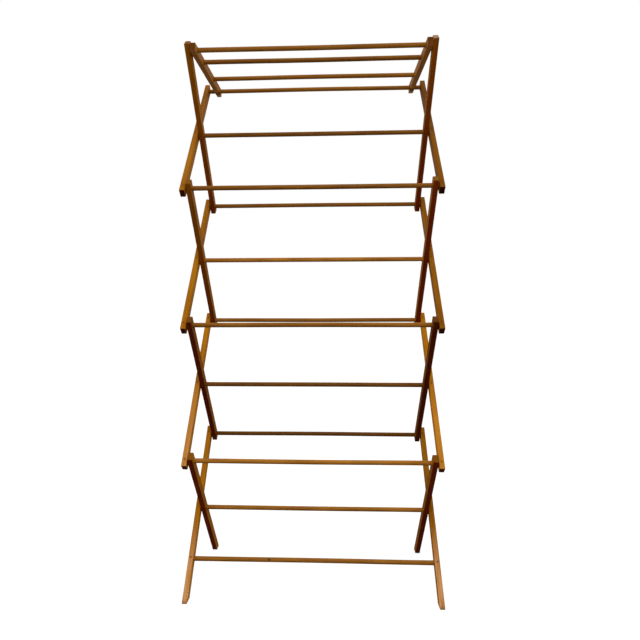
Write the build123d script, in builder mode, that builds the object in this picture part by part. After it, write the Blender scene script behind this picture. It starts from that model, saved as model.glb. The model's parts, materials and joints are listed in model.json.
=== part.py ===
from build123d import *
import os
from math import cos, radians, sin, tan

os.makedirs("parts", exist_ok=True)

# A free-standing folding clothes rack: four stages of crossed wooden legs joined by round
# dowels like a lazy tong, with a small shelf frame on top whose hooked rear ends drop over the
# top rear dowel and hold the rack open.
#
# Frame: +X to the right seen from the front, +Y to the rear, +Z up. The origin lies on the
# floor, below the middle of the four crossing dowels. Lengths are in millimetres and angles in
# degrees. A point in the side view is a (y, z) pair.

# ---- Driving dimensions ----
STAGES = 4
OVERALL_WIDTH = 690.0
PIVOT_SPACING = 470.0  # between a leg's two end pivots
OPEN_ANGLE = 39.6  # between a leg and the vertical, rack open
TOP_PIVOT_HEIGHT = 1461.4  # top dowels' centres above the floor

LEG_THICKNESS = 14.2  # across the rack
LEG_WIDTH = 23.8  # in the side view
LAYER_GAP = 1.8  # between neighbouring layers of legs and arms
END_OVERHANG = 20.5  # leg past its end pivots
EDGE_RADIUS = 1.2  # sanded edges of legs and arms

DOWEL_DIAMETER = 12.7
DOWEL_CHAMFER = 0.5
GLUED_GAP = 0.05  # around a dowel glued in its hole
TURNING_GAP = 0.1  # around a dowel that turns in its hole

FOOT_DOWEL_FROM_TOP = 377.9  # along the bottom outer leg, from its top pivot
SHELF_DOWEL_1 = 79.4  # along the shelf arm, from the top front dowel
SHELF_DOWEL_2 = 206.7
ARM_FRONT_OVERHANG = 21.0
ARM_HOOK_LENGTH = 34.0  # arm past the top rear dowel's centre
ARM_RISE = 5.0  # arm's centre line above the top rear dowel
NOTCH_FLARE = 32.0  # slope of the notch's front wall, lets the hook swing off

BRAD_LENGTH = 16.0
BRAD_DIAMETER = 1.4
BRAD_HEAD_DIAMETER = 2.4
BRAD_HEAD_THICKNESS = 0.6
BRAD_POINT_LENGTH = 2.0
BRAD_POINT_DIAMETER = 0.35
BRAD_GAP = 0.02

# ---- Worked-out dimensions ----
STAGE_DEPTH = PIVOT_SPACING * sin(radians(OPEN_ANGLE))
STAGE_HEIGHT = PIVOT_SPACING * cos(radians(OPEN_ANGLE))
DOWEL_RADIUS = DOWEL_DIAMETER / 2
GLUED_RADIUS = DOWEL_RADIUS + GLUED_GAP
TURNING_RADIUS = DOWEL_RADIUS + TURNING_GAP

FRONT_Y = -STAGE_DEPTH / 2
REAR_Y = STAGE_DEPTH / 2


# ---- Places ----
def front_pivot(level):
    """Front joint below stage `level`; level 0 is the top front dowel."""
    return (FRONT_Y, TOP_PIVOT_HEIGHT - level * STAGE_HEIGHT)


def rear_pivot(level):
    """Rear joint below stage `level`; level 0 is the top rear dowel."""
    return (REAR_Y, TOP_PIVOT_HEIGHT - level * STAGE_HEIGHT)


def crossing_pivot(stage):
    """Centre dowel of a stage, counted from 1 at the top."""
    return (0, TOP_PIVOT_HEIGHT - (stage - 0.5) * STAGE_HEIGHT)


def along(start, end, distance):
    """The point at a distance from start on the line to end."""
    length = ((end[0] - start[0]) ** 2 + (end[1] - start[1]) ** 2) ** 0.5
    share = distance / length
    return (start[0] + (end[0] - start[0]) * share, start[1] + (end[1] - start[1]) * share)


def layer_outside(layer):
    """Distance of a layer's outer face from the middle: 0 outer legs, 1 inner legs, 2 arms."""
    return OVERALL_WIDTH / 2 - layer * (LEG_THICKNESS + LAYER_GAP)


def layer_start(side, layer):
    """Lowest X of a layer on the right (side 1) or on the left (side -1)."""
    outside = layer_outside(layer)
    return outside - LEG_THICKNESS if side > 0 else -outside


def side_plane(x, start, end):
    """Side-view plane at x: its origin is at start and its own x axis points to end."""
    return Plane(
        origin=(x, start[0], start[1]),
        x_dir=(0, end[0] - start[0], end[1] - start[1]),
        z_dir=(1, 0, 0),
    )


def brad_planes(layer, centre, facing):
    """Planes of the two nail heads, left and right, that pin a dowel to a pair of bars.

    `facing` is the (y, z) direction that the nailed edge of the bar faces.
    """
    planes = []
    for side in (-1, 1):
        x = side * (layer_outside(layer) - LEG_THICKNESS / 2)
        y = centre[0] + facing[0] * LEG_WIDTH / 2
        z = centre[1] + facing[1] * LEG_WIDTH / 2
        planes.append(Plane(origin=(x, y, z), x_dir=(1, 0, 0), z_dir=(0, facing[0], facing[1])))
    return planes


# ---- Builders ----
def build_bar(plane, start, end, holes, nailed=(), stands_on_floor=False):
    """A leg or arm with eased edges.

    It runs from start to end along the plane's own x axis. `holes` holds (distance, radius)
    pairs along that axis and `nailed` the planes of the nail heads let into its edge.
    """
    with BuildPart() as bar:
        with BuildSketch(plane):
            with Locations(((start + end) / 2, 0)):
                Rectangle(end - start, LEG_WIDTH)
        extrude(amount=LEG_THICKNESS)
        if stands_on_floor:
            split(bisect_by=Plane.XY, keep=Keep.TOP)
        fillet(bar.edges(), EDGE_RADIUS)
        for distance, radius in holes:
            with Locations(plane):
                with Locations((distance, 0)):
                    Hole(radius)
        for nail in nailed:
            with Locations(nail):
                CounterBoreHole(
                    BRAD_DIAMETER / 2 + BRAD_GAP,
                    BRAD_HEAD_DIAMETER / 2 + BRAD_GAP,
                    BRAD_HEAD_THICKNESS + BRAD_GAP,
                    BRAD_LENGTH + BRAD_GAP,
                )
    return bar.part


def build_dowel(centre, half_length, nailed=()):
    """A round dowel across the rack, drilled where nails run into it."""
    with BuildPart() as dowel:
        with BuildSketch(Plane(origin=(-half_length, *centre), z_dir=(1, 0, 0))):
            Circle(DOWEL_RADIUS)
        extrude(amount=2 * half_length)
        chamfer(dowel.edges().filter_by(GeomType.CIRCLE), DOWEL_CHAMFER)
        for nail in nailed:
            with Locations(nail):
                Hole(BRAD_DIAMETER / 2 + BRAD_GAP, BRAD_LENGTH + BRAD_GAP)
    return dowel.part


def build_brads(nails):
    """Headed nails, one at each plane, as a group of separate solids."""
    top = (Align.CENTER, Align.CENTER, Align.MAX)
    shank_end = BRAD_LENGTH - BRAD_POINT_LENGTH
    with BuildPart() as brads:
        with Locations(*nails):
            Cylinder(BRAD_HEAD_DIAMETER / 2, BRAD_HEAD_THICKNESS, align=top)
            Cylinder(BRAD_DIAMETER / 2, shank_end, align=top)
            with Locations((0, 0, -shank_end)):
                Cone(BRAD_POINT_DIAMETER / 2, BRAD_DIAMETER / 2, BRAD_POINT_LENGTH, align=top)
    return brads.part


def save(part, name):
    """Label a finished piece and write it as a STEP file."""
    part.label = name
    export_step(part, f"parts/{name}.step")


SIDES = {"left": -1, "right": 1}
FOOT_STOCK = 50.0  # bottom leg past its lower joint line, before it is cut off at the floor

# ---- Outer frames: rear-top to front-bottom ----
# Every dowel of an outer frame is glued and nailed through the legs' front edges, apart from
# the lowest crossing dowel, which turns freely in all four bottom legs.
outer_front = (-cos(radians(OPEN_ANGLE)), sin(radians(OPEN_ANGLE)))
for stage in range(1, STAGES + 1):
    lower = front_pivot(stage)
    upper = rear_pivot(stage - 1)
    is_bottom = stage == STAGES
    if is_bottom:
        foot_dowel_at = PIVOT_SPACING - FOOT_DOWEL_FROM_TOP
        nailed_distances = (foot_dowel_at, PIVOT_SPACING)
        holes = [(PIVOT_SPACING / 2, TURNING_RADIUS)]
        leg_start = -FOOT_STOCK
    else:
        nailed_distances = (0, PIVOT_SPACING / 2, PIVOT_SPACING)
        holes = []
        leg_start = -END_OVERHANG
    holes += [(distance, GLUED_RADIUS) for distance in nailed_distances]
    nails = {
        distance: brad_planes(0, along(lower, upper, distance), outer_front)
        for distance in nailed_distances
    }

    for index, (side_name, side) in enumerate(SIDES.items()):
        leg = build_bar(
            side_plane(layer_start(side, 0), lower, upper),
            leg_start,
            PIVOT_SPACING + END_OVERHANG,
            holes,
            [pair[index] for pair in nails.values()],
            stands_on_floor=is_bottom,
        )
        save(leg, f"outer_leg_{side_name}_{stage}")

    full_width = layer_outside(0)
    top_name = "top_rear_dowel" if stage == 1 else f"rear_dowel_{stage - 1}"
    save(build_dowel(upper, full_width, nails[PIVOT_SPACING]), top_name)
    if is_bottom:
        foot_centre = along(lower, upper, foot_dowel_at)
        save(build_dowel(foot_centre, full_width, nails[foot_dowel_at]), "foot_dowel")
        save(build_dowel(crossing_pivot(stage), full_width), f"crossing_dowel_{stage}")
    else:
        save(build_dowel(lower, full_width, nails[0]), f"front_dowel_{stage}")
        crossing = build_dowel(crossing_pivot(stage), full_width, nails[PIVOT_SPACING / 2])
        save(crossing, f"crossing_dowel_{stage}")
    save(build_brads([plane for pair in nails.values() for plane in pair]), f"brads_outer_{stage}")

# ---- Inner frames: front-top to rear-bottom ----
# Every hole of an inner leg turns on its dowel.
for stage in range(1, STAGES + 1):
    lower = rear_pivot(stage)
    upper = front_pivot(stage - 1)
    is_bottom = stage == STAGES
    holes = [(PIVOT_SPACING / 2, TURNING_RADIUS), (PIVOT_SPACING, TURNING_RADIUS)]
    if not is_bottom:
        holes.append((0, TURNING_RADIUS))
    for side_name, side in SIDES.items():
        leg = build_bar(
            side_plane(layer_start(side, 1), lower, upper),
            -FOOT_STOCK if is_bottom else -END_OVERHANG,
            PIVOT_SPACING + END_OVERHANG,
            holes,
            stands_on_floor=is_bottom,
        )
        save(leg, f"inner_leg_{side_name}_{stage}")

# ---- Top front dowel: the shelf's pivot, carried by the top inner legs ----
save(build_dowel(front_pivot(0), layer_outside(1)), "top_front_dowel")

# ---- Shelf: two arms on the top front dowel, hooked over the top rear dowel ----
arm_root = front_pivot(0)
arm_aim = (REAR_Y, TOP_PIVOT_HEIGHT + ARM_RISE)
arm_tilt = ARM_RISE / STAGE_DEPTH  # small, so the tangent serves as the angle in radians
arm_top = (-sin(arm_tilt), cos(arm_tilt))
shelf_dowels = {"shelf_dowel_1": SHELF_DOWEL_1, "shelf_dowel_2": SHELF_DOWEL_2}
shelf_nails = {
    name: brad_planes(2, along(arm_root, arm_aim, distance), arm_top)
    for name, distance in shelf_dowels.items()
}

# The notch in the arm's own plane: a half round over the dowel, a straight wall behind it and
# a flared wall in front.
notch_x = STAGE_DEPTH * cos(arm_tilt)
notch_y = -STAGE_DEPTH * sin(arm_tilt)
notch_mouth = -LEG_WIDTH
flare = radians(NOTCH_FLARE)
front_tangent = (notch_x - TURNING_RADIUS * cos(flare), notch_y + TURNING_RADIUS * sin(flare))
front_mouth = (front_tangent[0] - (front_tangent[1] - notch_mouth) * tan(flare), notch_mouth)

for index, (side_name, side) in enumerate(SIDES.items()):
    arm_plane = side_plane(layer_start(side, 2), arm_root, arm_aim)
    bar = build_bar(
        arm_plane,
        -ARM_FRONT_OVERHANG,
        notch_x + ARM_HOOK_LENGTH,
        [(0, TURNING_RADIUS)] + [(distance, GLUED_RADIUS) for distance in shelf_dowels.values()],
        [pair[index] for pair in shelf_nails.values()],
    )
    with BuildPart() as arm:
        add(bar)
        with BuildSketch(arm_plane):
            with BuildLine():
                Polyline(
                    (notch_x + TURNING_RADIUS, notch_y),
                    (notch_x + TURNING_RADIUS, notch_mouth),
                    front_mouth,
                    front_tangent,
                )
                ThreePointArc(
                    front_tangent,
                    (notch_x, notch_y + TURNING_RADIUS),
                    (notch_x + TURNING_RADIUS, notch_y),
                )
            make_face()
        extrude(amount=LEG_THICKNESS, mode=Mode.SUBTRACT)
    save(arm.part, f"shelf_arm_{side_name}")

for name, distance in shelf_dowels.items():
    centre = along(arm_root, arm_aim, distance)
    save(build_dowel(centre, layer_outside(2), shelf_nails[name]), name)
save(build_brads([plane for pair in shelf_nails.values() for plane in pair]), "brads_shelf")
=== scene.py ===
import json
import math

import bmesh
import bpy
from mathutils import Matrix, Vector, noise


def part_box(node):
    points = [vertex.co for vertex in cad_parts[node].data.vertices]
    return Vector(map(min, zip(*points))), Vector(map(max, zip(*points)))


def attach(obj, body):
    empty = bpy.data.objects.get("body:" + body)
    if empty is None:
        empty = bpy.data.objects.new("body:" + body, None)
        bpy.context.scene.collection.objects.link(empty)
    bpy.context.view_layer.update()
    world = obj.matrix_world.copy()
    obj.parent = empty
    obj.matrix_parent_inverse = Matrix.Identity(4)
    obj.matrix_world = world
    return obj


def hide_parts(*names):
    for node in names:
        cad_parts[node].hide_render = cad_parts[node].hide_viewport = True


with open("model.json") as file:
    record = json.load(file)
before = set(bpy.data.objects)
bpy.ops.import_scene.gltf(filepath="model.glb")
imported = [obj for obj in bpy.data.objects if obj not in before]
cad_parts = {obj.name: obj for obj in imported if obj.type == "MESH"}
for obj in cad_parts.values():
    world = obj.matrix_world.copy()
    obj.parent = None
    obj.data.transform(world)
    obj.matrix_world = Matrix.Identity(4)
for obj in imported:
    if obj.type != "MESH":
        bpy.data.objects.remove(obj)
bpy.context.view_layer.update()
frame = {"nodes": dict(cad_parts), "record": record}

# The looks of a folding wooden clothes rack: every leg, arm and dowel is rebuilt around its CAD
# node with worn edges, drilled holes and a solid wood grain that runs along it. Lengths are in
# metres, written as multiples of MM where they are small.

MM = 0.001
STAGES = 4
SIDES = ("left", "right")

bodies = frame["record"]["behaviour"]["bodies"]
BODY_OF = {node: body for body, nodes in bodies.items() for node in nodes}
SLOT_OF = {part["node"]: part["material_slot"] for part in frame["record"]["subparts"]}


# ---- What the frame says ----
def centre(node):
    """Middle of a CAD node."""
    low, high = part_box(node)
    return (low + high) / 2


def bar_matrix(node, start_dowel, end_dowel):
    """Place of a leg or arm: origin on its start dowel's axis, X across the rack, Z along it.

    Local -Y is then the front edge of a leg and the top edge of a shelf arm.
    """
    start = centre(start_dowel)
    start.x = centre(node).x
    along = centre(end_dowel) - start
    along.x = 0
    along.normalize()
    across = Vector((1, 0, 0))
    matrix = Matrix((across, along.cross(across), along)).transposed().to_4x4()
    matrix.translation = start
    return matrix


def local_extent(node, matrix):
    """Lowest and highest corner of a CAD node in a piece's own axes."""
    inverse = matrix.inverted()
    points = [inverse @ vertex.co for vertex in frame["nodes"][node].data.vertices]
    low = Vector(min(p[axis] for p in points) for axis in range(3))
    high = Vector(max(p[axis] for p in points) for axis in range(3))
    return low, high


DOWEL_LOW, DOWEL_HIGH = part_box("top_front_dowel")
DOWEL_RADIUS = (DOWEL_HIGH.z - DOWEL_LOW.z) / 2

# ---- Finish of the timber ----
HOLE_GAP = 0.1 * MM
HOLE_FLARE = 0.4 * MM  # broken edge round the mouth of a dowel hole
HOLE_SEGMENTS = 64
CUT_PAST = 1 * MM  # how far a cutter reaches past the face it cuts
SHARP_ABOVE = math.radians(42)  # edges steeper than this are shaded sharp

# Sanding of the bars, uneven along their length
EDGE_RADIUS = 1.2 * MM
EDGE_RADIUS_VARIATION = 0.35
EDGE_RADIUS_SWING = 50 * MM
EDGE_RADIUS_SEED = 9
SMALLEST_RADIUS = 0.35 * MM
END_RADIUS = 1.7 * MM
FOOT_RADIUS = 4.6 * MM
FOOT_SIDE_ROUNDING = 0.65  # of the rounding at a foot's front and back
FOOT_LEVELS_OUT = 45 * MM  # length over which a foot's slanting cut fades
CORNER_ROUNDING = 0.6  # how much a corner sharpens where the bar's end is rounded
CORNER_STEPS = 4
RING_STEP = 6 * MM
SANDED_OFF = 0.06 * MM
SANDING_SWING = 90 * MM

# Wear of the edges, from 0 for none to 1
RUB = 0.30
RUB_VARIATION = 0.55
RUB_SWING = 28 * MM
FOOT_RUB = 0.7
FOOT_RUB_LENGTH = 60 * MM
END_RUB = 0.5
FACE_SHARE = 0.15  # of an edge's wear that reaches the faces

NICKS_PER_CORNER = 2
NICK_DEPTH = 1.3 * MM
NICK_RUB = 0.8
SMALLEST_NICK = 3 * MM  # half its length
NICK_GROWTH = 4 * MM
NICK_PLACES = (12.9, 4.7, 2.3)  # factors on seed, corner and number that scatter the nicks
NICK_SIZES = (3.1, 1.9, 5.3)

# Bleached lower ends of the outer legs: (strength, length)
BLEACHING = {
    "outer_leg_left_4": (1.7, 210 * MM),
    "outer_leg_right_4": (1.7, 210 * MM),
    "outer_leg_left_3": (0.6, 320 * MM),
    "outer_leg_right_3": (0.25, 320 * MM),
}
DIRT_HEIGHT = 9 * MM

# Chips out of the left front foot's inner corner: (height up the leg, size)
CHIPS = {"outer_leg_left_4": ((15 * MM, 2.8 * MM), (21 * MM, 4.0 * MM), (27 * MM, 2.6 * MM))}
CHIPPED_CORNER = 3
CHIP_HALF_LENGTH = 1.5 * MM
CHIP_STEPS = (-2.4 * MM, -1.6 * MM, -0.8 * MM, 0.0, 0.8 * MM, 1.6 * MM, 2.4 * MM)
BARE_TOPS = {"inner_leg_right_1": 0.4}  # upper ends rubbed down to fresh wood, and how far
# Rubbed spots under the hooked end of a shelf arm, in from the tip, and the grubby tip itself
WORN_SPOTS = (9 * MM, 45 * MM)
WORN_SPOT_HALF_LENGTH = 4 * MM
WORN_SPOT_BARE = 0.6
GRUBBY_TIP = 6 * MM
UNDERSIDE_PAINTED_LIGHT = 0.09  # painted light: how much the shelf arms' undersides are lightened towards fresh wood, standing in for light from below

DOWEL_SEGMENTS = 28
DOWEL_STEP = 12 * MM
DOWEL_CHAMFER = 0.5 * MM
DOWEL_WAVINESS = 0.12 * MM
DOWEL_WAVE = 50 * MM
DOWEL_BOW = 0.7 * MM
DOWEL_STRAIGHT_END = 60 * MM  # ends stay true where they sit in their holes
DOWEL_RUB = 0.35
DOWEL_RUB_SWING = 70 * MM
DOWEL_RUB_SEED = 3.3
DOWEL_END_RUB = 0.6

NAIL_HEAD_RADIUS = 1.2 * MM
NAIL_HEAD_DEPTH = 0.6 * MM
NAIL_SHANK_RADIUS = 0.7 * MM
NAIL_LENGTH = 16 * MM
NAIL_POINT = 2 * MM
NAIL_GAP = 0.06 * MM
NAIL_TIP = 0.15  # of the shank's radius
NAIL_NECK = 0.25 * MM
NAIL_SEGMENTS = 20
# A hammered head from its underside up: (height, share of the head's radius)
NAIL_HEAD = (
    (-0.60 * MM, 0.8),
    (-0.36 * MM, 1.0),
    (-0.12 * MM, 1.0),
    (-0.02 * MM, 0.85),
    (0.0, 0.6),
    (-0.05 * MM, 0.25),
)
NOTCH_FLARE = math.radians(32)
NOTCH_MOUTH = 20 * MM
NOTCH_STEPS = 20

# Seeds pick a piece's own grain and wear
FIRST_SEED = 1.0
SEED_STEP = 1.37
SEED_TURN = 2.4
SEED_SHIFT = (7.31, 2.17)


def wander(position, seed, size):
    """Smooth noise between -1 and 1 along a piece; size is the length of one swing."""
    return noise.noise(Vector((position / size, seed * SEED_SHIFT[0], seed * SEED_SHIFT[1])))


def hump(distance, place, half_length):
    """1 at a place along a piece, falling to 0 on both sides of it."""
    return math.exp(-(((distance - place) / half_length) ** 2))


def limited(value):
    """A value kept between 0 and 1."""
    return min(max(value, 0.0), 1.0)


def fading(distance, length):
    """1 at distance 0, falling evenly to 0 at a length."""
    return max(0.0, 1 - distance / length)


# ---- Mesh builders ----
def new_piece(name, mesh, matrix):
    """A mesh object at its place in the rack."""
    piece = bpy.data.objects.new(name, mesh)
    bpy.context.scene.collection.objects.link(piece)
    piece.matrix_world = matrix
    return piece


def bridge(shape, lower, upper):
    """Quads between two closed rings of equally many vertices."""
    count = len(lower)
    for index in range(count):
        following = (index + 1) % count
        shape.faces.new((lower[index], lower[following], upper[following], upper[index]))


def lathe(shape, matrix, profile, segments):
    """A closed turned solid about matrix's Z; profile holds (height, radius) pairs going up."""
    rings = []
    for height, radius in profile:
        ring = []
        for index in range(segments):
            angle = 2 * math.pi * index / segments
            point = Vector((radius * math.cos(angle), radius * math.sin(angle), height))
            ring.append(shape.verts.new(matrix @ point))
        rings.append(ring)
    for lower, upper in zip(rings, rings[1:]):
        bridge(shape, lower, upper)
    shape.faces.new(list(reversed(rings[0])))
    shape.faces.new(rings[-1])


def carve(piece, cutter_shape):
    """Cuts a bmesh solid out of a piece."""
    bmesh.ops.recalc_face_normals(cutter_shape, faces=cutter_shape.faces)
    cutter_mesh = bpy.data.meshes.new("cutter")
    cutter_shape.to_mesh(cutter_mesh)
    cutter_shape.free()
    cutter = new_piece("cutter", cutter_mesh, piece.matrix_world)
    modifier = piece.modifiers.new("carve", "BOOLEAN")
    modifier.operation = "DIFFERENCE"
    modifier.solver = "EXACT"
    modifier.object = cutter
    bpy.context.view_layer.update()
    depsgraph = bpy.context.evaluated_depsgraph_get()
    carved = bpy.data.meshes.new_from_object(piece.evaluated_get(depsgraph))
    piece.modifiers.clear()
    old = piece.data
    piece.data = carved
    carved.name = piece.name
    bpy.data.meshes.remove(old)
    bpy.data.objects.remove(cutter)
    bpy.data.meshes.remove(cutter_mesh)


def soften(piece):
    """Smooth shading with flat faces kept flat."""
    for polygon in piece.data.polygons:
        polygon.use_smooth = True
    piece.data.set_sharp_from_angle(angle=SHARP_ABOVE)
    weighted = piece.modifiers.new("flat_faces", "WEIGHTED_NORMAL")
    weighted.keep_sharp = True


def finished_mesh(name, shape, rings=()):
    """The mesh of a bmesh shape; rings, if given, are first joined and closed at both ends."""
    for lower, upper in zip(rings, rings[1:]):
        bridge(shape, lower, upper)
    if rings:
        shape.faces.new(list(reversed(rings[0])))
        shape.faces.new(rings[-1])
    mesh = bpy.data.meshes.new(name)
    shape.to_mesh(mesh)
    shape.free()
    return mesh


def rounded_outline(half_x, half_y, radii):
    """Corner-rounded rectangle as (x, y) points, one radius per corner, going anticlockwise."""
    points = []
    for corner, radius in enumerate(radii):
        sign_x = 1 if corner in (0, 3) else -1
        sign_y = 1 if corner in (0, 1) else -1
        for step in range(CORNER_STEPS + 1):
            angle = math.pi / 2 * (corner + step / CORNER_STEPS)
            x = sign_x * (half_x - radius) + radius * math.cos(angle)
            y = sign_y * (half_y - radius) + radius * math.sin(angle)
            points.append((x, y))
    return points


def bar_stations(start, end, start_radius, end_radius):
    """(distance, inset) pairs along a bar: rounded ends, then even steps between them."""
    angles = [math.pi / 2 * step / CORNER_STEPS for step in range(CORNER_STEPS + 1)]
    opening = [
        (start + start_radius * (1 - math.cos(angle)), start_radius * (1 - math.sin(angle)))
        for angle in angles
    ]
    closing = [
        (end - end_radius * (1 - math.cos(angle)), end_radius * (1 - math.sin(angle)))
        for angle in reversed(angles)
    ]
    first, last = opening[-1][0], closing[0][0]
    count = round((last - first) / RING_STEP)
    middle = [(first + (last - first) * step / count, 0.0) for step in range(1, count)]
    return opening + middle + closing


def scatter_nicks(seed, start, end):
    """(corner, place, size) of a bar's nicks, spread by its seed."""
    nicks = []
    for corner in range(4):
        for index in range(NICKS_PER_CORNER):
            spread = (seed, corner, index)
            place_turn = sum(factor * value for factor, value in zip(NICK_PLACES, spread))
            size_turn = sum(factor * value for factor, value in zip(NICK_SIZES, spread))
            share = 0.5 + 0.5 * math.sin(place_turn)
            size = 0.5 + 0.5 * math.cos(size_turn)
            nicks.append((corner, start + share * (end - start), size))
    return nicks


def worn_corner(corner, distance, seed, near_foot, nicks, chips):
    """Radius, rub and bared wood of one corner of a bar at a distance along it."""
    rub = RUB + RUB_VARIATION * wander(distance, seed + corner, RUB_SWING) + FOOT_RUB * near_foot
    unevenness = wander(distance, seed + EDGE_RADIUS_SEED + corner, EDGE_RADIUS_SWING)
    radius = EDGE_RADIUS * (1 + EDGE_RADIUS_VARIATION * unevenness)
    for nick_corner, place, size in nicks:
        if nick_corner == corner:
            nicked = size * hump(distance, place, SMALLEST_NICK + NICK_GROWTH * size)
            radius += NICK_DEPTH * nicked
            rub += NICK_RUB * nicked
    chipped = 0.0
    if corner == CHIPPED_CORNER:
        for place, size in chips:
            cut = hump(distance, place, CHIP_HALF_LENGTH)
            radius += size * cut
            chipped = max(chipped, cut)
    return radius, limited(rub), chipped


def bar_mesh(name, low, high, seed, foot, hooked):
    """A sawn, hand-sanded bar along Z between low and high, in its own axes.

    `foot` is None, or (distance, slope) of the floor across the bar's lower end: there the end
    is cut level with the floor. Float attributes on the vertices: "wear" marks rubbed edges,
    "pale" the bleached feet, "fresh_and_lit" bared new wood and, under a shelf arm, painted light,
    and "dirt" the grubby rim of a foot or tip.
    """
    half_x = (high.x - low.x) / 2
    half_y = (high.y - low.y) / 2
    start, slope = foot if foot else (low.z, 0.0)
    stations = bar_stations(start, high.z, FOOT_RADIUS if foot else END_RADIUS, END_RADIUS)
    chips = [(start + height, size) for height, size in CHIPS.get(name, ())]
    stations += [(place + step, 0.0) for place, size in chips for step in CHIP_STEPS]
    stations.sort(key=lambda station: station[0])
    nicks = scatter_nicks(seed, start, high.z)
    bleach, bleached_length = BLEACHING.get(name, (0.0, 1.0))

    shape = bmesh.new()
    wear_layer = shape.verts.layers.float.new("wear")
    pale_layer = shape.verts.layers.float.new("pale")
    fresh_and_lit_layer = shape.verts.layers.float.new("fresh_and_lit")
    dirt_layer = shape.verts.layers.float.new("dirt")
    rings = []
    for distance, inset in stations:
        up = distance - start
        pale = limited(bleach * (1 - up / bleached_length))
        thin = SANDED_OFF * (1 + wander(distance, seed, SANDING_SWING))
        near_foot = fading(up, FOOT_RUB_LENGTH) if foot else 0.0
        underside_wear_and_light, dirt = 0.0, 0.0
        if hooked:
            from_tip = high.z - distance
            spots = sum(hump(from_tip, place, WORN_SPOT_HALF_LENGTH) for place in WORN_SPOTS)
            # under a shelf arm: painted light all along, plus the rubbed spots near the tip
            underside_wear_and_light = UNDERSIDE_PAINTED_LIGHT + WORN_SPOT_BARE * spots
            dirt = fading(from_tip, GRUBBY_TIP)
        if foot:
            dirt = fading(up, DIRT_HEIGHT)
        bare_top = BARE_TOPS.get(name, 0.0) if inset > 0 and distance > 0 else 0.0
        corners = [
            worn_corner(corner, distance, seed, near_foot, nicks, chips) for corner in range(4)
        ]
        radii = [
            max(radius - inset * CORNER_ROUNDING, SMALLEST_RADIUS) for radius, _, _ in corners
        ]
        side_inset = inset * (FOOT_SIDE_ROUNDING if foot else 1.0)
        outline = rounded_outline(half_x - thin - side_inset, half_y - thin - inset, radii)
        end_rub = END_RUB if inset > 0 else 0.0
        ring = []
        for index, (x, y) in enumerate(outline):
            corner, step = divmod(index, CORNER_STEPS + 1)
            _, rub, chipped = corners[corner]
            tilt = slope * y * fading(up, FOOT_LEVELS_OUT)
            vertex = shape.verts.new((x, y, distance + tilt))
            on_edge = math.sin(math.pi * step / CORNER_STEPS)
            reach = FACE_SHARE + (1 - FACE_SHARE) * on_edge + end_rub
            vertex[wear_layer] = min(1.0, rub * reach)
            vertex[pale_layer] = pale
            # the arm's underside corners take the painted light and the rubbed spots
            below_wear_and_light = underside_wear_and_light if corner in (0, 1) else 0.0
            vertex[fresh_and_lit_layer] = max(chipped * on_edge, bare_top, below_wear_and_light)
            vertex[dirt_layer] = dirt
            ring.append(vertex)
        rings.append(ring)
    return finished_mesh(name, shape, rings)


def dowel_hole(shape, distance, half_thickness):
    """Cutter for one dowel hole across a bar, with broken edges at both faces."""
    radius = DOWEL_RADIUS + HOLE_GAP
    mouth = radius + HOLE_FLARE + CUT_PAST
    profile = (
        (-half_thickness - CUT_PAST, mouth),
        (-half_thickness + HOLE_FLARE, radius),
        (half_thickness - HOLE_FLARE, radius),
        (half_thickness + CUT_PAST, mouth),
    )
    turn = Matrix.Translation((0, 0, distance)) @ Matrix.Rotation(math.pi / 2, 4, "Y")
    lathe(shape, turn, profile, HOLE_SEGMENTS)


def nail_hole(shape, distance, half_width):
    """Cutter for one nail let into the bar's -Y edge."""
    radius = NAIL_HEAD_RADIUS + NAIL_GAP
    shank = NAIL_SHANK_RADIUS + NAIL_GAP
    floor = -NAIL_HEAD_DEPTH - NAIL_GAP
    profile = (
        (-NAIL_LENGTH - NAIL_GAP, shank),
        (floor, shank),
        (floor, radius),
        (CUT_PAST, radius),
    )
    lathe(shape, nail_matrix(distance, half_width), profile, NAIL_SEGMENTS)


def nail_matrix(distance, half_width):
    """Local place of a nail in a bar: its head on the -Y edge, its Z pointing out."""
    return Matrix.Translation((0, -half_width, distance)) @ Matrix.Rotation(math.pi / 2, 4, "X")


def notch(shape, at, half_thickness):
    """Cutter for a shelf arm's notch round the rear dowel: at is the dowel's place in the arm.

    The wall behind the dowel is square, the one in front is flared so that the hook swings off.
    """
    radius = DOWEL_RADIUS + HOLE_GAP
    sweep = math.pi - NOTCH_FLARE
    outline = [(at.y + NOTCH_MOUTH, at.z + radius)]
    for step in range(NOTCH_STEPS + 1):
        angle = sweep * step / NOTCH_STEPS
        outline.append((at.y - radius * math.sin(angle), at.z + radius * math.cos(angle)))
    last_y, last_z = outline[-1]
    mouth_y = at.y + NOTCH_MOUTH
    outline.append((mouth_y, last_z - (mouth_y - last_y) * math.tan(NOTCH_FLARE)))
    ends = []
    for x in (-half_thickness - CUT_PAST, half_thickness + CUT_PAST):
        ends.append([shape.verts.new((x, y, z)) for y, z in outline])
    bridge(shape, *ends)
    shape.faces.new(list(reversed(ends[0])))
    shape.faces.new(ends[1])


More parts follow.
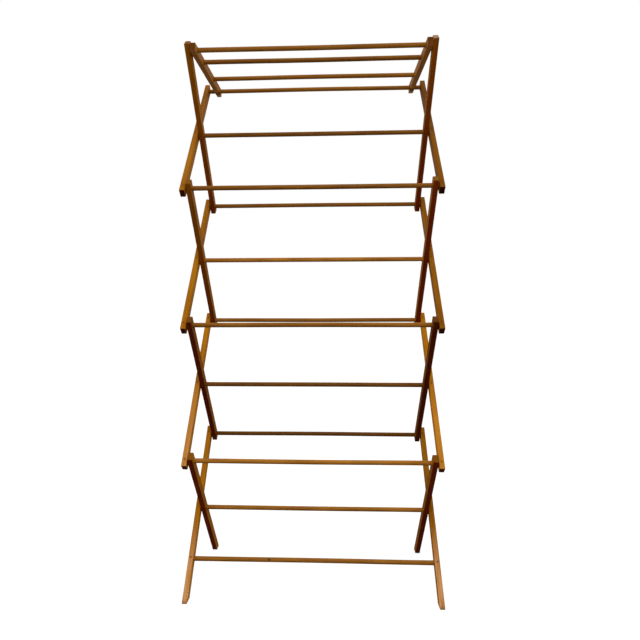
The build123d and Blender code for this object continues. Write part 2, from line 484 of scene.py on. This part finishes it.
def dowel_mesh(name, half_length, seed):
    """A turned dowel along Z, very slightly bowed and uneven, with chamfered ends."""
    straight_from = half_length - DOWEL_STRAIGHT_END
    bow_direction = seed * SEED_TURN
    shape = bmesh.new()
    wear_layer = shape.verts.layers.float.new("wear")
    inner = half_length - DOWEL_CHAMFER
    count = round(2 * inner / DOWEL_STEP)
    stations = [(-half_length, DOWEL_CHAMFER)]
    stations += [(-inner + 2 * inner * step / count, 0.0) for step in range(count + 1)]
    stations += [(half_length, DOWEL_CHAMFER)]
    rings = []
    for height, inset in stations:
        reach = min(abs(height) / straight_from, 1.0)
        swing = DOWEL_BOW * math.cos(reach * math.pi / 2) ** 2
        waviness = DOWEL_WAVINESS if reach < 1 else 0.0
        ring = []
        for index in range(DOWEL_SEGMENTS):
            angle = 2 * math.pi * index / DOWEL_SEGMENTS
            across, up = math.cos(angle), math.sin(angle)
            uneven = noise.noise(Vector((across + seed, up, height / DOWEL_WAVE)))
            radius = DOWEL_RADIUS - inset - waviness * (0.5 + 0.5 * uneven)
            x = radius * across + swing * math.cos(bow_direction)
            y = radius * up + swing * math.sin(bow_direction)
            vertex = shape.verts.new((x, y, height))
            rub_place = Vector((angle, seed * DOWEL_RUB_SEED, height / DOWEL_RUB_SWING))
            rub = 0.5 + 0.5 * noise.noise(rub_place)
            vertex[wear_layer] = DOWEL_RUB * rub if inset == 0 else DOWEL_END_RUB
            ring.append(vertex)
        rings.append(ring)
    return finished_mesh(name, shape, rings)


def nails_mesh(name, places):
    """Wire brads with slightly domed, hammered heads, one at each world matrix."""
    shape = bmesh.new()
    profile = [
        (-NAIL_LENGTH, NAIL_SHANK_RADIUS * NAIL_TIP),
        (-NAIL_LENGTH + NAIL_POINT, NAIL_SHANK_RADIUS),
        (-NAIL_HEAD_DEPTH - NAIL_NECK, NAIL_SHANK_RADIUS),
    ]
    profile += [(height, NAIL_HEAD_RADIUS * share) for height, share in NAIL_HEAD]
    for place in places:
        lathe(shape, place, profile, NAIL_SEGMENTS)
    return finished_mesh(name, shape)


# ---- Shader helpers ----
class Graph:
    """Adds nodes to a material or world and links them."""

    def __init__(self, owner):
        owner.use_nodes = True
        self.tree = owner.node_tree
        self.tree.nodes.clear()

    def node(self, kind, settings=None, **inputs):
        """One node; inputs are values or sockets, named with _ for spaces."""
        made = self.tree.nodes.new(kind)
        for key, value in (settings or {}).items():
            setattr(made, key, value)
        for key, value in inputs.items():
            self.feed(made.inputs[key.replace("_", " ")], value)
        return made

    def feed(self, socket, value):
        """Sets or links one input."""
        if isinstance(value, bpy.types.NodeSocket):
            self.tree.links.new(value, socket)
        else:
            socket.default_value = value

    def math(self, operation, *values, clamp=False):
        """A Math node's result."""
        made = self.tree.nodes.new("ShaderNodeMath")
        made.operation = operation
        made.use_clamp = clamp
        for socket, value in zip(made.inputs, values):
            self.feed(socket, value)
        return made.outputs[0]

    def vector(self, operation, *values):
        """A Vector Math node's vector result."""
        made = self.tree.nodes.new("ShaderNodeVectorMath")
        made.operation = operation
        for socket, value in zip(made.inputs, values):
            self.feed(socket, value)
        return made.outputs["Value" if operation == "LENGTH" else "Vector"]

    def noise(self, vector, scale, detail=2.0, roughness=0.5):
        """Noise texture's factor."""
        made = self.node(
            "ShaderNodeTexNoise", Vector=vector, Scale=scale, Detail=detail, Roughness=roughness
        )
        return made.outputs["Fac"]

    def remap(self, value, low, high, to_low=0.0, to_high=1.0):
        """Value taken from low..high to to_low..to_high, clamped, with soft ends."""
        made = self.node("ShaderNodeMapRange", {"interpolation_type": "SMOOTHSTEP"})
        for socket, setting in zip(made.inputs, (value, low, high, to_low, to_high)):
            self.feed(socket, setting)
        return made.outputs[0]

    def mix(self, factor, first, second, blend="MIX"):
        """Two colours mixed."""
        made = self.tree.nodes.new("ShaderNodeMix")
        made.data_type = "RGBA"
        made.blend_type = blend
        self.feed(made.inputs["Factor"], factor)
        self.feed(made.inputs["A"], first)
        self.feed(made.inputs["B"], second)
        return made.outputs["Result"]

    def attribute(self, name, kind="GEOMETRY"):
        """A vertex attribute's factor, or an object's custom property with kind OBJECT."""
        made = self.node("ShaderNodeAttribute", {"attribute_name": name, "attribute_type": kind})
        return made.outputs["Fac"]


def colour(red, green, blue):
    """Linear colour from sRGB values between 0 and 1."""
    channels = []
    for value in (red, green, blue):
        low = value / 12.92
        channels.append(low if value <= 0.04045 else ((value + 0.055) / 1.055) ** 2.4)
    return (*channels, 1.0)


# ---- Materials ----
WHITE = (1.0, 1.0, 1.0, 1.0)
FRONT_SHADE_COLOUR = (0.62, 0.17, 0.17, 1.0)  # painted shade: multiplies the timber's colour on the inner legs' downward-facing front edges, for the little light that reaches them
FRONT_SHADE_PER_METRE = 1.3  # the painted shade deepens down a leg, where less light reaches
FRONT_SHADE_FROM = 0.235  # height above a leg's lower pivot from which it deepens
FRONT_SHADE_SWITCH = 4.0  # high, so that only pieces without painted front shade are left out of this
# End grain darkened by stain; at the legs' lower ends, which face down, it is also painted shade
END_STAIN_AND_SHADE = (0.18, 0.07, 0.12, 1.0)
END_GRAIN_STAIN = 0.4
MARKS = 3
MARK_COLOUR = colour(0.20, 0.09, 0.04)
MARK_DEPTH = 0.8
MARK_CORE = 0.35  # fully dark part of a mark
BLEACHED = colour(0.87, 0.63, 0.41)
DIRT = colour(0.27, 0.22, 0.18)
FRESH_WOOD = colour(0.95, 0.84, 0.68)  # inside a chip; also used for the painted light under the shelf arms
VARNISH = colour(0.95, 0.72, 0.35)

# Grain: the scales count features in a metre across it, the stretches shrink them along it
RINGS_PER_METRE = 440.0
RING_SHARPNESS = 2.4
RING_BEND = 0.011
BEND_SCALE = 30.0
BEND_STRETCH = (1.0, 1.0, 0.16)
PITH_ASIDE = 0.055  # how far beside a piece the middle of the tree lay
PITH_LEAN = 0.020
BOARD_SPACING = (0.13, 0.9, 1.7)
FIBRE_SCALE = 1500.0
FIBRE_STRETCH = (1.0, 1.0, 0.018)
PORE_SCALE = 1150.0
PORE_STRETCH = (1.0, 1.0, 0.05)
STREAK_SCALE = 210.0
STREAK_STRETCH = (1.0, 1.0, 0.06)
BLOTCH_SCALE = 22.0
BLOTCH_STRETCH = (1.0, 1.0, 0.35)
RUB_SCALE = 430.0

# How much each feature darkens the timber, or hides it
RING_DEPTH = 0.34
BLOTCH_DEPTH = 0.30
STREAK_DEPTH = 0.30
FIBRE_DEPTH = 0.22
LIGHTENING = 0.08
PORE_DARKNESS = 0.45
RUBBED_BARE = 0.52
BLEACH_OFF_FRONT = 0.15  # of the bleaching, on faces other than the front
DARKER_GREEN = 1.12  # a dark board is also redder
DARKER_BLUE = 1.3

ROUGH_FIBRE = 0.16
ROUGH_WEAR = 0.22
FIBRE_RELIEF = 0.6
PORE_RELIEF = -0.9
RING_RELIEF = -0.30
RELIEF_HEIGHT = 0.0002
COAT_SHARE = 0.25  # of the shine
COAT_ROUGHNESS = 0.25


def weighted_sum(graph, *pairs):
    """Sum of (weight, value) pairs."""
    total = graph.math("MULTIPLY", pairs[0][1], pairs[0][0])
    for weight, value in pairs[1:]:
        total = graph.math("ADD", total, graph.math("MULTIPLY", value, weight))
    return total


def growth_rings(graph, place, shifted, height, aside):
    """Dark late wood of the growth rings, 0 to 1: cylinders round a pith beside the piece."""
    warp = graph.node("ShaderNodeTexNoise", Scale=BEND_SCALE, Detail=2.0,
                      Vector=graph.vector("MULTIPLY", shifted, BEND_STRETCH))
    centred = graph.vector("SUBTRACT", warp.outputs["Color"], (0.5, 0.5, 0.5))
    bend = graph.vector("MULTIPLY", centred, (RING_BEND, RING_BEND, 0.0))
    askew = graph.math("ADD", PITH_ASIDE, graph.math("MULTIPLY", height, PITH_LEAN))
    lean = graph.node("ShaderNodeCombineXYZ", X=askew, Y=askew, Z=0.0).outputs[0]
    pith = graph.vector("MULTIPLY", aside, lean)
    across = graph.vector("MULTIPLY", place, (1.0, 1.0, 0.0))
    from_pith = graph.vector("ADD", across, graph.vector("ADD", bend, pith))
    turns = graph.math("MULTIPLY", graph.vector("LENGTH", from_pith),
                       2 * math.pi * RINGS_PER_METRE)
    wave = graph.math("ADD", 0.5, graph.math("MULTIPLY", graph.math("SINE", turns), 0.5))
    return graph.math("POWER", wave, RING_SHARPNESS)


def painted_front_shade(graph, timber, height, front, front_shade):
    """Painted shade: the timber darkened and reddened on its downward-facing front edge, more so
    further down a leg.
    """
    downward = graph.math("MULTIPLY", graph.math("SUBTRACT", FRONT_SHADE_FROM, height),
                          FRONT_SHADE_PER_METRE)
    is_front_shaded = graph.math("MULTIPLY", front_shade, FRONT_SHADE_SWITCH, clamp=True)
    downward = graph.math("MULTIPLY", downward, is_front_shaded)
    amount = graph.math("ADD", front_shade, downward, clamp=True)
    return graph.mix(graph.math("MULTIPLY", amount, front), timber, FRONT_SHADE_COLOUR, "MULTIPLY")


def worn(graph, timber, bare, front, streak, rub_noise):
    """The timber rubbed, bleached, chipped, lit by painted light under the shelf arms and dirtied;
    also how much it is lightened.
    """
    rub = graph.math("MULTIPLY", graph.attribute("wear"), graph.remap(rub_noise, 0.42, 0.64))
    bleach = graph.math("MULTIPLY", graph.attribute("pale"),
                        graph.remap(streak, 0.36, 0.62, 0.35, 1.0))
    on_front = graph.math("ADD", BLEACH_OFF_FRONT,
                          graph.math("MULTIPLY", front, 1 - BLEACH_OFF_FRONT))
    bleach = graph.math("MULTIPLY", bleach, on_front)
    timber = graph.mix(bleach, timber, BLEACHED)
    timber = graph.mix(graph.math("MULTIPLY", rub, RUBBED_BARE), timber, bare)
    # chips and bared tops show fresh wood; under the shelf arms the same lightening is painted
    # light
    fresh_and_lit = graph.math("MULTIPLY", graph.attribute("fresh_and_lit"),
                       graph.remap(rub_noise, 0.25, 0.5, 0.5))
    timber = graph.mix(fresh_and_lit, timber, FRESH_WOOD)
    grime = graph.math("MULTIPLY", graph.attribute("dirt"),
                       graph.remap(rub_noise, 0.3, 0.6, 0.4, 0.8))
    timber = graph.mix(grime, timber, DIRT)
    return timber, graph.math("ADD", rub, bleach, clamp=True)


def end_stained_and_shaded(graph, timber, lengthwise):
    """End grain drinks more stain, most of all at a piece's lower or front end; the legs'
    downward-facing lower ends are darkened further as painted shade.
    """
    upper_end = graph.math("MULTIPLY", graph.remap(lengthwise, 0.55, 0.85), END_GRAIN_STAIN)
    lower_end = graph.math("MULTIPLY", graph.remap(lengthwise, -0.55, -0.85),
                           graph.attribute("lower_end_stain_and_shade", "OBJECT"))
    return graph.mix(graph.math("ADD", upper_end, lower_end), timber, END_STAIN_AND_SHADE, "MULTIPLY")


def marked(graph, timber, place, streak):
    """Dark marks on the front edge: rust round a nail, or a knot."""
    size = graph.attribute("mark_size", "OBJECT")
    for index in range(1, MARKS + 1):
        mark_centre = graph.node("ShaderNodeCombineXYZ", X=0.0,
                                 Y=graph.attribute("mark_y", "OBJECT"),
                                 Z=graph.attribute(f"mark_{index}", "OBJECT")).outputs[0]
        offset = graph.vector("MULTIPLY", graph.vector("SUBTRACT", place, mark_centre),
                              (1.0, 1.0, 0.7))
        reach = graph.math("ADD", graph.vector("LENGTH", offset),
                           graph.math("MULTIPLY", streak, 2 * MM))
        core = graph.math("MULTIPLY", size, MARK_CORE)
        timber = graph.mix(graph.remap(reach, core, size, MARK_DEPTH, 0.0), timber, MARK_COLOUR)
    return timber


def wood_material(name, light, dark, bare, roughness, shine):
    """Stained and varnished solid timber whose grain runs along the piece's own Z.

    Long faces show streaks and arches, and sawn ends show arcs. Object properties: seed picks
    the board, shade makes it lighter or darker (its own tone, and painted shade on the lower inner
    legs), front_shade darkens and reddens its front edge as painted shade,
    lower_end_stain_and_shade darkens its lower end with stain and, on the legs, painted shade,
    mark_1 to mark_3 are the heights of dark marks on its front edge.
    Vertex attributes: wear rubs the finish off, pale bleaches the front edge, fresh_and_lit bares
    new wood and paints light under the shelf arms, dirt darkens.
    """
    material = bpy.data.materials.new(name)
    graph = Graph(material)
    place = graph.node("ShaderNodeTexCoord").outputs["Object"]
    height = graph.node("ShaderNodeSeparateXYZ", Vector=place).outputs["Z"]
    normal = graph.node("ShaderNodeNewGeometry").outputs["Normal"]
    local_normal = graph.node(
        "ShaderNodeVectorTransform",
        {"vector_type": "NORMAL", "convert_from": "WORLD", "convert_to": "OBJECT"},
        Vector=normal,
    ).outputs[0]
    facing = graph.node("ShaderNodeSeparateXYZ", Vector=local_normal)
    front = graph.remap(facing.outputs["Y"], -0.3, -0.7)

    # the board this piece was cut from
    seed = graph.attribute("seed", "OBJECT")
    turn = graph.math("MULTIPLY", seed, SEED_TURN)
    aside = graph.node(
        "ShaderNodeCombineXYZ", X=graph.math("COSINE", turn), Y=graph.math("SINE", turn), Z=0.0
    ).outputs[0]
    board = graph.node(
        "ShaderNodeCombineXYZ", X=seed, Y=graph.math("SINE", seed), Z=graph.math("COSINE", seed)
    ).outputs[0]
    shifted = graph.vector("ADD", place, graph.vector("MULTIPLY", board, BOARD_SPACING))

    # rings, fibres, pores and uneven stain
    ring = growth_rings(graph, place, shifted, height, aside)
    fibre = graph.noise(graph.vector("MULTIPLY", shifted, FIBRE_STRETCH), FIBRE_SCALE, 3.0, 0.6)
    pores = graph.noise(graph.vector("MULTIPLY", shifted, PORE_STRETCH), PORE_SCALE, 1.0)
    pores = graph.remap(pores, 0.63, 0.74)
    streak = graph.noise(graph.vector("MULTIPLY", shifted, STREAK_STRETCH), STREAK_SCALE,
                         3.0, 0.55)
    blotch = graph.noise(graph.vector("MULTIPLY", shifted, BLOTCH_STRETCH), BLOTCH_SCALE, 3.0)
    blotch = graph.remap(blotch, 0.28, 0.72)
    depth = weighted_sum(graph, (RING_DEPTH, ring), (BLOTCH_DEPTH, blotch),
                         (STREAK_DEPTH, graph.remap(streak, 0.3, 0.7)), (FIBRE_DEPTH, fibre))
    depth = graph.math("SUBTRACT", depth, LIGHTENING, clamp=True)
    timber = graph.mix(depth, light, dark)
    timber = graph.mix(graph.math("MULTIPLY", pores, PORE_DARKNESS), timber, dark)

    # this piece's own tone, painted front shade, wear, end stain with painted end shade, and marks
    shade = graph.attribute("shade", "OBJECT")
    tone = graph.node("ShaderNodeCombineColor", Red=shade,
                      Green=graph.math("POWER", shade, DARKER_GREEN),
                      Blue=graph.math("POWER", shade, DARKER_BLUE)).outputs[0]
    timber = graph.mix(1.0, timber, tone, "MULTIPLY")
    # painted shade: darker, redder front edges on the inner legs, deepening down each leg
    timber = painted_front_shade(graph, timber, height, front, graph.attribute("front_shade", "OBJECT"))
    rub_noise = graph.noise(shifted, RUB_SCALE, 4.0, 0.65)
    timber, lightened = worn(graph, timber, bare, front, streak, rub_noise)
    timber = end_stained_and_shaded(graph, timber, facing.outputs["Z"])
    timber = marked(graph, timber, place, streak)

    rough = graph.math("ADD", roughness, graph.math("MULTIPLY", fibre, ROUGH_FIBRE))
    rough = graph.math("ADD", rough, graph.math("MULTIPLY", lightened, ROUGH_WEAR))
    relief = weighted_sum(graph, (FIBRE_RELIEF, fibre), (PORE_RELIEF, pores), (RING_RELIEF, ring))
    bump = graph.node("ShaderNodeBump", Strength=0.35, Distance=RELIEF_HEIGHT, Height=relief)
    shader = graph.node(
        "ShaderNodeBsdfPrincipled",
        Base_Color=timber,
        Roughness=rough,
        Specular_IOR_Level=shine,
        Specular_Tint=VARNISH,
        Normal=bump.outputs["Normal"],
        Coat_Weight=shine * COAT_SHARE,
        Coat_Roughness=COAT_ROUGHNESS,
        Coat_Tint=VARNISH,
    )
    graph.node("ShaderNodeOutputMaterial", Surface=shader.outputs[0])
    return material


RUST_SCALE = 900.0
PITTING_SCALE = 2500.0
DARK_STEEL = colour(0.17, 0.14, 0.12)
RUST = colour(0.30, 0.16, 0.08)


def nail_material():
    """Darkened steel with a trace of rust."""
    material = bpy.data.materials.new("brad_steel")
    graph = Graph(material)
    place = graph.node("ShaderNodeTexCoord").outputs["Object"]
    rusty = graph.remap(graph.noise(place, RUST_SCALE, 3.0), 0.4, 0.65)
    surface = graph.mix(rusty, DARK_STEEL, RUST)
    rough = graph.math("ADD", 0.38, graph.math("MULTIPLY", rusty, 0.35))
    metal = graph.math("SUBTRACT", 0.9, graph.math("MULTIPLY", rusty, 0.7))
    bump = graph.node("ShaderNodeBump", Strength=0.4, Distance=0.0001,
                      Height=graph.noise(place, PITTING_SCALE, 3.0))
    shader = graph.node("ShaderNodeBsdfPrincipled", Base_Color=surface, Roughness=rough,
                        Metallic=metal, Normal=bump.outputs["Normal"])
    graph.node("ShaderNodeOutputMaterial", Surface=shader.outputs[0])
    return material


MATERIALS = {
    "leg_wood": wood_material(
        "leg_wood",
        light=colour(0.78, 0.51, 0.05),
        dark=colour(0.53, 0.30, 0.01),
        bare=colour(0.82, 0.62, 0.36),
        roughness=0.44,
        shine=0.055,
    ),
    "dowel_wood": wood_material(
        "dowel_wood",
        light=colour(0.70, 0.47, 0.17),
        dark=colour(0.46, 0.26, 0.06),
        bare=colour(0.80, 0.60, 0.36),
        roughness=0.46,
        shine=0.13,
    ),
    "brad_steel": nail_material(),
}


# ---- Pieces ----
NO_MARK = 10.0  # a height far off the piece
# How far a lower end is darkened: stain in the end grain, and on the legs also painted shade
LEG_END_STAIN_AND_SHADE = 1.0
ARM_END_STAIN = 0.8
NAIL_MARK_SIZE = 3.4 * MM
KNOT_SIZE = 5.5 * MM
KNOT_HEIGHT = math.radians(35)  # how far above level a dowel's knot looks out


def finish_piece(piece, node, seed=0.0, shade=1.0, front_shade=0.0, lower_end_stain_and_shade=0.0, marks=(),
                 mark_y=0.0, mark_size=NAIL_MARK_SIZE):
    """Gives a piece its material and hands it to the body of the CAD node it stands for."""
    piece["seed"] = seed
    piece["shade"] = shade
    piece["front_shade"] = front_shade
    piece["lower_end_stain_and_shade"] = lower_end_stain_and_shade
    piece["mark_y"] = mark_y
    piece["mark_size"] = mark_size
    for index in range(MARKS):
        piece[f"mark_{index + 1}"] = marks[index] if index < len(marks) else NO_MARK
    slot = SLOT_OF[node]
    piece.data.materials.clear()
    piece.data.materials.append(MATERIALS[slot])
    soften(piece)
    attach(piece, BODY_OF[node])
    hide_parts(node)


def make_bar(node, dowels, nailed, seed, shade, front_shade=0.0, on_floor=False, hooked=False):
    """One leg or arm with its holes; returns the world places of the nails let into it."""
    matrix = bar_matrix(node, dowels[0], dowels[-1])
    low, high = local_extent(node, matrix)
    foot = None
    if on_floor:
        edge_rise, along_rise = matrix[2][1], matrix[2][2]
        foot = (-matrix.translation.z / along_rise, -edge_rise / along_rise)
    piece = new_piece(node + "_wood", bar_mesh(node, low, high, seed, foot, hooked), matrix)
    inverse = matrix.inverted()
    half_thickness = (high.x - low.x) / 2
    half_width = (high.y - low.y) / 2
    cutter = bmesh.new()
    for dowel in dowels:
        dowel_hole(cutter, (inverse @ centre(dowel)).z, half_thickness)
    carve(piece, cutter)
    nail_heights = [(inverse @ centre(dowel)).z for dowel in nailed]
    if nailed:
        cutter = bmesh.new()
        for height in nail_heights:
            nail_hole(cutter, height, half_width)
        carve(piece, cutter)
    if hooked:
        cutter = bmesh.new()
        notch(cutter, inverse @ centre("top_rear_dowel"), half_thickness)
        carve(piece, cutter)
    lower_end_stain_and_shade = ARM_END_STAIN if hooked else LEG_END_STAIN_AND_SHADE
    finish_piece(piece, node, seed, shade, front_shade, lower_end_stain_and_shade, nail_heights, -half_width)
    return [matrix @ nail_matrix(height, half_width) for height in nail_heights]


def make_dowel(node, seed, shade, knots=()):
    """One dowel across the rack."""
    low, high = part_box(node)
    half_length = (high.x - low.x) / 2
    matrix = Matrix.Translation(centre(node)) @ Matrix.Rotation(math.pi / 2, 4, "Y")
    matrix = matrix @ Matrix.Rotation(-KNOT_HEIGHT, 4, "Z")
    piece = new_piece(node + "_wood", dowel_mesh(node, half_length, seed), matrix)
    finish_piece(piece, node, seed, shade, marks=knots, mark_y=-DOWEL_RADIUS,
                 mark_size=KNOT_SIZE)


def make_nails(node, places):
    """All nails of one frame."""
    piece = new_piece(node + "_steel", nails_mesh(node, places), Matrix.Identity(4))
    finish_piece(piece, node)


def rear_dowel(level):
    """Name of the rear dowel below a stage; level 0 is the top one."""
    return f"rear_dowel_{level}" if level else "top_rear_dowel"


def front_dowel(level):
    """Name of the front dowel below a stage; level 0 is the top one."""
    return f"front_dowel_{level}" if level else "top_front_dowel"


# How light each piece is, top stage first
OUTER_SHADE = {"left": (0.81, 0.90, 1.05, 1.02), "right": (0.48, 0.66, 1.25, 0.78)}
# The inner legs' tones are partly painted shade: the lower stages are darkened for the little
# light that reaches their downward-facing fronts near the floor
INNER_SHADE = {"left": (0.70, 0.66, 0.49, 0.76), "right": (0.66, 0.68, 0.38, 0.61)}
# Painted shade on each inner leg's downward-facing front edge, top stage first
INNER_FRONT_SHADE = {"left": (0.50, 0.50, 1.3, 1.3), "right": (0.8, 1.2, 1.3, 1.3)}
ARM_SHADE = 0.80
COMMON_DOWEL_SHADE = 0.9
DOWEL_SHADE = {
    "top_front_dowel": 0.77,
    "shelf_dowel_1": 0.74,
    "shelf_dowel_2": 0.92,
    "top_rear_dowel": 1.05,
    "crossing_dowel_1": 0.60,
    "front_dowel_1": 0.70,
    "rear_dowel_1": 0.74,
    "crossing_dowel_2": 1.32,
    "crossing_dowel_3": 0.52,
    "rear_dowel_3": 0.42,
    "front_dowel_3": 1.34,
    "crossing_dowel_4": 1.14,
    "foot_dowel": 0.98,
}
FOOT_KNOT = -121 * MM  # of the foot dowel, from its middle

seed = FIRST_SEED
for stage in range(1, STAGES + 1):
    is_bottom = stage == STAGES
    crossing = f"crossing_dowel_{stage}"
    lower = "foot_dowel" if is_bottom else front_dowel(stage)
    outer_dowels = [lower, crossing, rear_dowel(stage - 1)]
    outer_nailed = [lower, rear_dowel(stage - 1)] if is_bottom else outer_dowels
    inner_dowels = [crossing, front_dowel(stage - 1)]
    if not is_bottom:
        inner_dowels.insert(0, rear_dowel(stage))
    nail_places = []
    for side in SIDES:
        seed += SEED_STEP
        nail_places += make_bar(f"outer_leg_{side}_{stage}", outer_dowels, outer_nailed, seed,
                                OUTER_SHADE[side][stage - 1], on_floor=is_bottom)
        seed += SEED_STEP
        make_bar(f"inner_leg_{side}_{stage}", inner_dowels, [], seed,
                 INNER_SHADE[side][stage - 1], INNER_FRONT_SHADE[side][stage - 1], on_floor=is_bottom)
    make_nails(f"brads_outer_{stage}", nail_places)

nail_places = []
shelf_dowels = ["shelf_dowel_1", "shelf_dowel_2"]
for side in SIDES:
    seed += SEED_STEP
    nail_places += make_bar(f"shelf_arm_{side}", ["top_front_dowel"] + shelf_dowels,
                            shelf_dowels, seed, ARM_SHADE, hooked=True)
make_nails("brads_shelf", nail_places)

for node in sorted(SLOT_OF):
    if SLOT_OF[node] == "dowel_wood":
        seed += SEED_STEP
        knots = [FOOT_KNOT] if node == "foot_dowel" else []
        make_dowel(node, seed, DOWEL_SHADE.get(node, COMMON_DOWEL_SHADE), knots)


# ---- Stage, light and camera ----
FLOOR_RADIUS = 60.0
FLOOR_DROP = 0.2 * MM
FLOOR_PALE = (0.9, 0.9, 0.9, 1.0)
FLOOR_BOUNCE = (0.17, 0.135, 0.09, 1.0)  # what the floor throws up at the rack
FLOOR_GLOW = 1.2
FLOOR_SHADOWED = 0.3  # share of the floor's look that takes shadows
WARM_BELOW = (1.0, 0.64, 0.44, 1.0)
DIMMEST = 0.03


def make_floor():
    """A wide pale floor. The camera sees it pale with faint shadows; it throws little light up."""
    shape = bmesh.new()
    bmesh.ops.create_circle(shape, cap_ends=True, segments=64, radius=FLOOR_RADIUS)
    mesh = finished_mesh("floor", shape)
    floor = new_piece("floor", mesh, Matrix.Translation((0, 0, -FLOOR_DROP)))
    material = bpy.data.materials.new("floor")
    graph = Graph(material)
    pale = graph.node("ShaderNodeBsdfDiffuse", Color=FLOOR_PALE)
    glow = graph.node("ShaderNodeEmission", Color=WHITE, Strength=FLOOR_GLOW)
    lit = graph.node("ShaderNodeMixShader", Fac=FLOOR_SHADOWED)
    graph.feed(lit.inputs[1], glow.outputs[0])
    graph.feed(lit.inputs[2], pale.outputs[0])
    dull = graph.node("ShaderNodeBsdfDiffuse", Color=FLOOR_BOUNCE)
    seen = graph.node("ShaderNodeLightPath").outputs["Is Camera Ray"]
    mixed = graph.node("ShaderNodeMixShader", Fac=seen)
    graph.feed(mixed.inputs[1], dull.outputs[0])
    graph.feed(mixed.inputs[2], lit.outputs[0])
    graph.node("ShaderNodeOutputMaterial", Surface=mixed.outputs[0])
    mesh.materials.append(material)


def make_world(level, rise, sides, backdrop):
    """Studio light: brighter overhead and at both sides, dim and warm from below.

    The camera itself sees an even pale backdrop.
    """
    world = bpy.data.worlds.new("studio")
    bpy.context.scene.world = world
    graph = Graph(world)
    direction = graph.node("ShaderNodeTexCoord").outputs["Generated"]
    split = graph.node("ShaderNodeSeparateXYZ", Vector=direction)
    height = split.outputs["Z"]
    sideways = graph.math("MULTIPLY", graph.math("POWER", split.outputs["X"], 2.0), sides)
    glow = graph.math("ADD", level, graph.math("MULTIPLY", height, rise))
    glow = graph.math("MAXIMUM", graph.math("ADD", glow, sideways), DIMMEST)
    seen = graph.node("ShaderNodeLightPath").outputs["Is Camera Ray"]
    strength = graph.math("ADD", graph.math("MULTIPLY", seen, backdrop),
                          graph.math("MULTIPLY", graph.math("SUBTRACT", 1.0, seen), glow))
    warm = graph.mix(graph.remap(height, -0.35, 0.05), WARM_BELOW, WHITE)
    tint = graph.mix(seen, warm, WHITE)
    sky = graph.node("ShaderNodeBackground", Color=tint, Strength=strength)
    graph.node("ShaderNodeOutputWorld", Surface=sky.outputs[0])


def make_lamp(place, target, watts, size, mirrored=True):
    """A square soft lamp that faces a point; mirrored ones show as a sheen on the varnish."""
    lamp = bpy.data.lights.new("lamp", "AREA")
    lamp.energy = watts
    lamp.size = size
    holder = bpy.data.objects.new("lamp", lamp)
    aim = Vector(place) - Vector(target)
    turn = aim.to_track_quat("Z", "Y").to_matrix().to_4x4()
    holder.matrix_world = Matrix.Translation(place) @ turn
    holder.visible_camera = False
    holder.visible_glossy = mirrored
    bpy.context.scene.collection.objects.link(holder)


def make_camera(place, turn, tip, roll, lens, shift):
    """Camera at a place, turned left or right, tipped up or down and rolled, in degrees."""
    lens_data = bpy.data.cameras.new("camera")
    lens_data.lens = lens
    lens_data.shift_x, lens_data.shift_y = shift
    camera = bpy.data.objects.new("camera", lens_data)
    aim = Matrix.Rotation(math.radians(-turn), 4, "Z")
    aim = aim @ Matrix.Rotation(math.radians(90 + tip), 4, "X")
    aim = aim @ Matrix.Rotation(math.radians(roll), 4, "Z")
    camera.matrix_world = Matrix.Translation(place) @ aim
    bpy.context.scene.collection.objects.link(camera)
    bpy.context.scene.camera = camera


make_floor()
make_world(level=0.24, rise=0.55, sides=0.80, backdrop=1.0)
make_lamp(place=(0.1, -1.6, 1.75), target=(0, 0, 0.85), watts=10, size=0.6)
make_lamp(place=(0.0, 1.5, 0.25), target=(0, 0, 1.46), watts=7, size=0.8, mirrored=False)
make_camera(place=(0.0502, -1.6249, 0.8157), turn=-2.665, tip=-1.027, roll=-0.195,
            lens=31.567, shift=(0.02435, -0.02309))
bpy.context.scene.view_settings.view_transform = "Standard"
